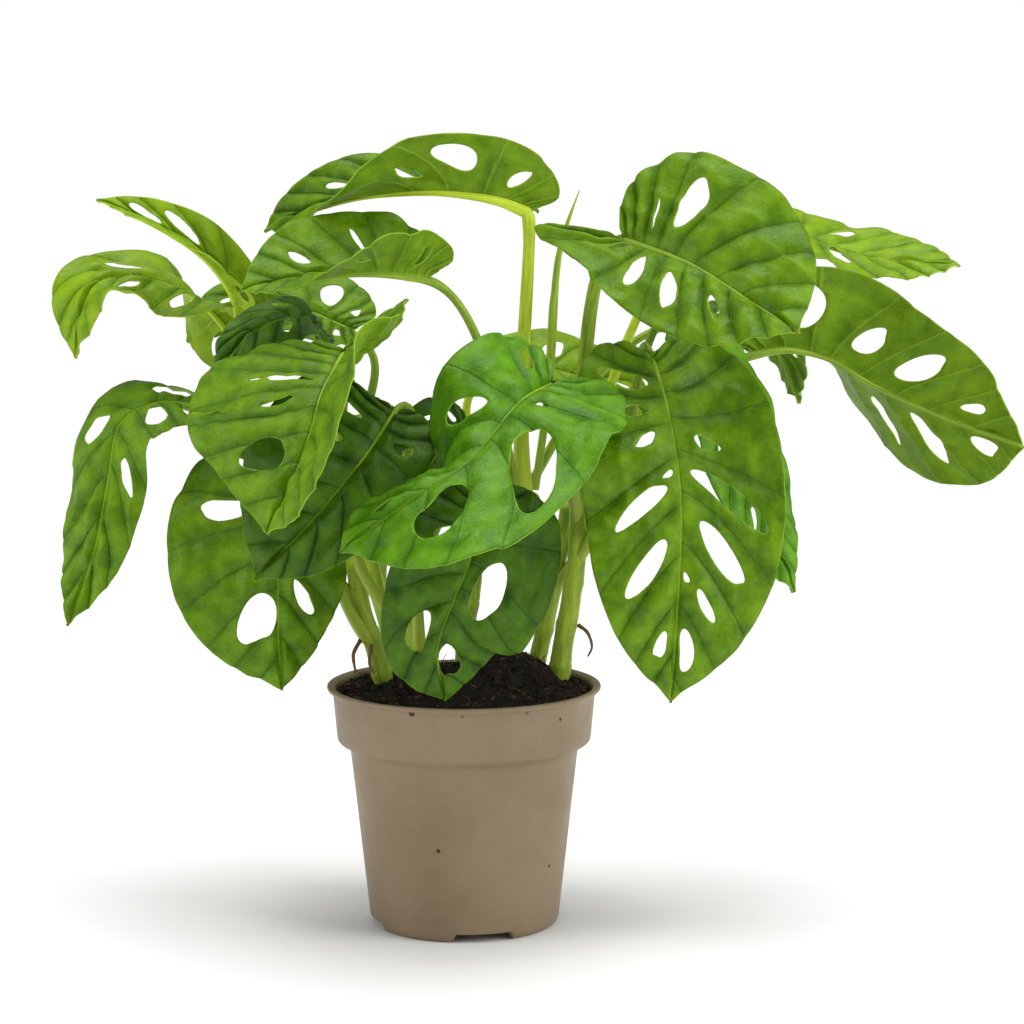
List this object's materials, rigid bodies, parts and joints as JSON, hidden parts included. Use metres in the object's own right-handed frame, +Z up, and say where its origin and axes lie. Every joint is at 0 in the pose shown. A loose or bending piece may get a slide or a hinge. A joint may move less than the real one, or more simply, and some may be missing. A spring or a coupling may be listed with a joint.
{
  "type": "potted monstera plant",
  "caption": "Small-leaved windowed monstera in a tapered plastic nursery pot with a rim band, with soil, stems, petioles and perforated leaf blades as separate pieces.",
  "frame": {"origin": "the middle of the circle of feet that the pot stands on, on the pot's own axis", "axes": "+Z up along the pot's axis; X along the plant's broad side, with the largest drooping leaf on the far right at +X; the side that faced the viewer looks along -Y"},
  "size_m": [0.4154, 0.2599, 0.3455],
  "materials": {
    "pot_plastic": "satin",
    "soil_mix": "matte",
    "stem_green": "satin",
    "blade_green": "satin",
    "root_brown": "matte"
  },
  "bodies": {
    "root": {"pot": "pot_plastic", "soil": "soil_mix", "stem_right": "stem_green", "stem_right_back": "stem_green", "stem_middle": "stem_green", "stem_back": "stem_green", "stem_left": "stem_green", "stem_left_back": "stem_green", "stem_front_left": "stem_green", "petiole_top": "stem_green", "leaf_top": "blade_green", "petiole_upper_left": "stem_green", "leaf_upper_left": "blade_green", "petiole_far_left_high": "stem_green", "leaf_far_left_high": "blade_green", "petiole_left_pale": "stem_green", "leaf_left_pale": "blade_green", "petiole_left_dark": "stem_green", "leaf_left_dark": "blade_green", "petiole_front_left": "stem_green", "leaf_front_left": "blade_green", "petiole_left_under": "stem_green", "leaf_left_under": "blade_green", "petiole_lower_left": "stem_green", "leaf_lower_left": "blade_green", "petiole_far_left_low": "stem_green", "leaf_far_left_low": "blade_green", "petiole_front_middle": "stem_green", "leaf_front_middle": "blade_green", "petiole_low_middle": "stem_green", "leaf_low_middle": "blade_green", "petiole_right_hanging": "stem_green", "leaf_right_hanging": "blade_green", "petiole_right_behind": "stem_green", "leaf_right_behind": "blade_green", "petiole_upper_right": "stem_green", "leaf_upper_right": "blade_green", "petiole_right_high": "stem_green", "leaf_right_high": "blade_green", "petiole_far_right": "stem_green", "leaf_far_right": "blade_green", "petiole_back_middle": "stem_green", "leaf_back_middle": "blade_green", "petiole_back_left": "stem_green", "leaf_back_left": "blade_green", "petiole_back_right": "stem_green", "leaf_back_right": "blade_green", "petiole_back_low": "stem_green", "leaf_back_low": "blade_green", "petiole_inner": "stem_green", "leaf_inner": "blade_green", "young_leaf": "blade_green", "root_right": "root_brown", "root_left": "root_brown", "root_left_front": "root_brown"}
  },
  "joints": []
}
